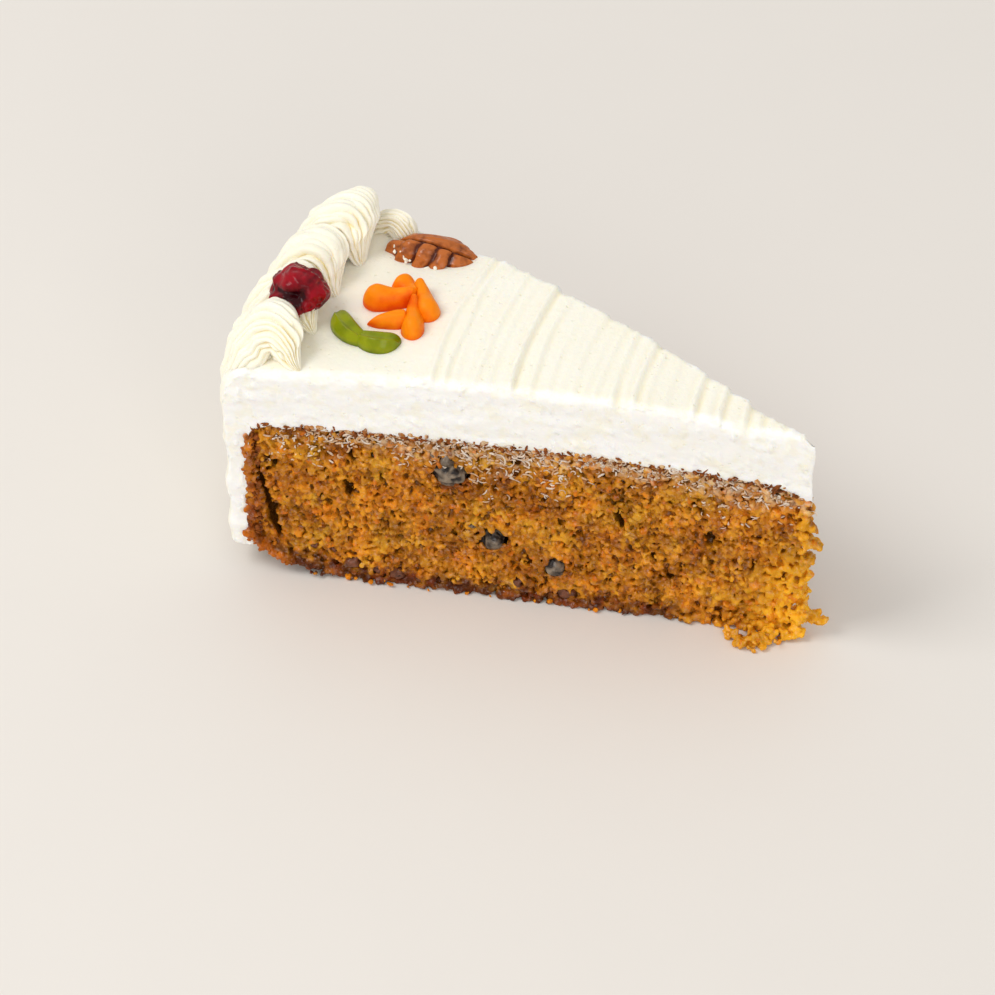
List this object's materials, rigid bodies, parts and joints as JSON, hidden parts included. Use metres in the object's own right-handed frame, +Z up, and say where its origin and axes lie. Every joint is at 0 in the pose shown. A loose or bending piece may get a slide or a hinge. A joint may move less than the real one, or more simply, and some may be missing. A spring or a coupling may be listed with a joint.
{
  "type": "carrot cake slice",
  "caption": "Wedge of nut-flecked carrot sponge under cream frosting, with a piped border, a dried berry, half a pecan and a sugar flower with leaves.",
  "frame": {"origin": "on the flat underside, under the middle of the slice's outline", "axes": "+X along the middle of the slice towards its tip, +Z up; the nut-flecked front cut faces -Y"},
  "size_m": [0.1286, 0.064, 0.0726],
  "materials": {
    "sponge": "moist open crumb, matte, golden brown with a darker crust",
    "frosting": "smooth cream cheese frosting, soft sheen",
    "berry": "wrinkled glossy dried fruit skin",
    "pecan": "satin brown nut skin",
    "orange_sugar": "soft sugar paste, satin",
    "green_sugar": "soft sugar paste, satin",
    "nut": "baked walnut piece, dark grey brown"
  },
  "bodies": {
    "root": {"sponge": "sponge", "frosting": "frosting", "swirl_1": "frosting", "swirl_2": "frosting", "swirl_3": "frosting", "swirl_4": "frosting", "dried_berry": "berry", "pecan_half": "pecan", "flower_petal_1": "orange_sugar", "flower_petal_2": "orange_sugar", "flower_petal_3": "orange_sugar", "flower_petal_4": "orange_sugar", "flower_petal_5": "orange_sugar", "leaf_1": "green_sugar", "leaf_2": "green_sugar", "nut_1": "nut", "nut_2": "nut", "nut_3": "nut"}
  },
  "joints": []
}
